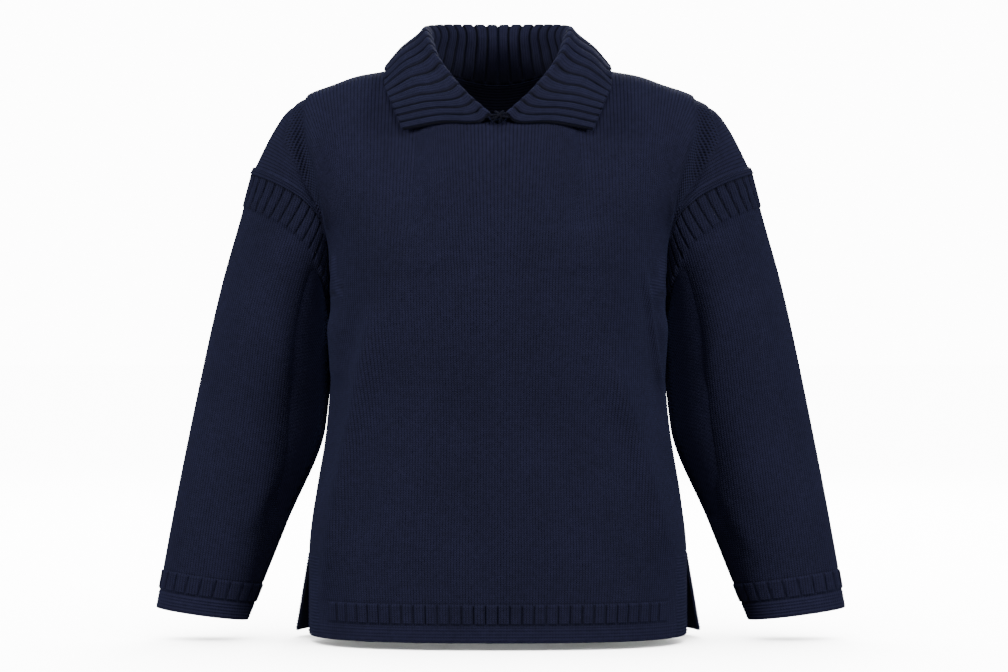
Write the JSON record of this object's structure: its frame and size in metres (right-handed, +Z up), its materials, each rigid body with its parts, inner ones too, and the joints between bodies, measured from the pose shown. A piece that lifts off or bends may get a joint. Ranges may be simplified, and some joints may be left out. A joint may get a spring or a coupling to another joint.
{
  "type": "collared knitted sweater",
  "caption": "Hollow knitted pullover with a ribbed fold-over collar, dropped shoulders, ribbed sleeve heads and cuffs, and side slits at its hem.",
  "frame": {"origin": "the middle of the neck opening, level with the high points of the shoulders, where a wearer's shoulders hold the garment up", "axes": "+Z up, the front faces -Y, and +X is the right-hand side of the garment as seen from in front"},
  "size_m": [0.746, 0.2402, 0.6622],
  "materials": {
    "knit_front": "matte navy stockinette knit",
    "knit_back": "matte navy stockinette knit",
    "knit_sleeve_left": "matte navy knit, ribbed at its head and cuff",
    "knit_sleeve_right": "matte navy knit, ribbed at its head and cuff",
    "rib_collar": "matte navy rib knit"
  },
  "bodies": {
    "root": {"front": "knit_front", "back": "knit_back", "sleeve_left": "knit_sleeve_left", "sleeve_right": "knit_sleeve_right", "collar": "rib_collar"}
  },
  "joints": []
}
